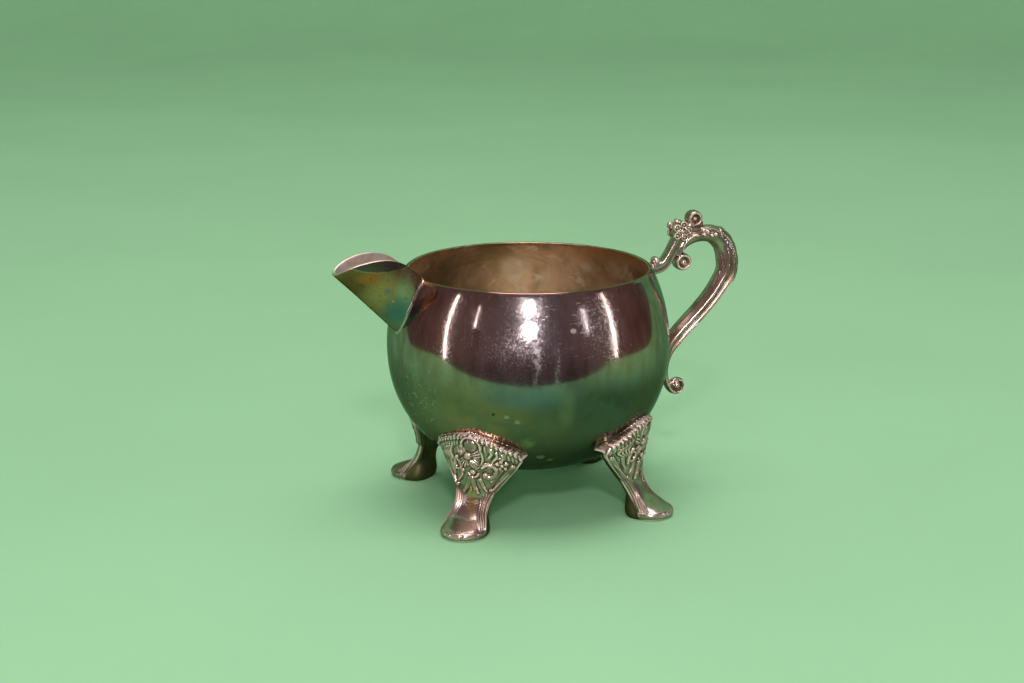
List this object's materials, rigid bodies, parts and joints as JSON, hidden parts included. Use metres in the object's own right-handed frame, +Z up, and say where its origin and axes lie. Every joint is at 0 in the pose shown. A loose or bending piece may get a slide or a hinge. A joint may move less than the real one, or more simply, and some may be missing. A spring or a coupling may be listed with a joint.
{
  "type": "cream jug",
  "caption": "Round-bellied silver-plated cream jug on cast scroll feet, with a bent sheet spout and a cast scroll handle.",
  "frame": {"origin": "on the surface that the jug stands on, under the middle of the jug's length; the bowl's axis is at X = -3.6 mm", "axes": "+Z up along the bowl's axis; +X from the bowl's axis to the handle, so the spout points to -X; seen from the bowl's axis the feet are at 45 degrees to X and Y"},
  "size_m": [0.1333, 0.088, 0.0883],
  "materials": {
    "bowl_silver": "polished silver plate over brass, tarnished, with fine scratches and water spots",
    "spout_silver": "polished silver plate over brass sheet, tarnished olive and gold",
    "cast_silver": "cast and plated, bright on the raised work and dark in the recesses",
    "silver_solder": "bright solder, smoothed by hand"
  },
  "bodies": {
    "root": {"bowl": "bowl_silver", "spout": "spout_silver", "handle": "cast_silver", "foot_1": "cast_silver", "foot_2": "cast_silver", "foot_3": "cast_silver", "foot_4": "cast_silver", "spout_seam_solder": "silver_solder", "handle_upper_solder": "silver_solder", "handle_lower_solder": "silver_solder", "foot_solder_1": "silver_solder", "foot_solder_2": "silver_solder", "foot_solder_3": "silver_solder", "foot_solder_4": "silver_solder"}
  },
  "joints": []
}
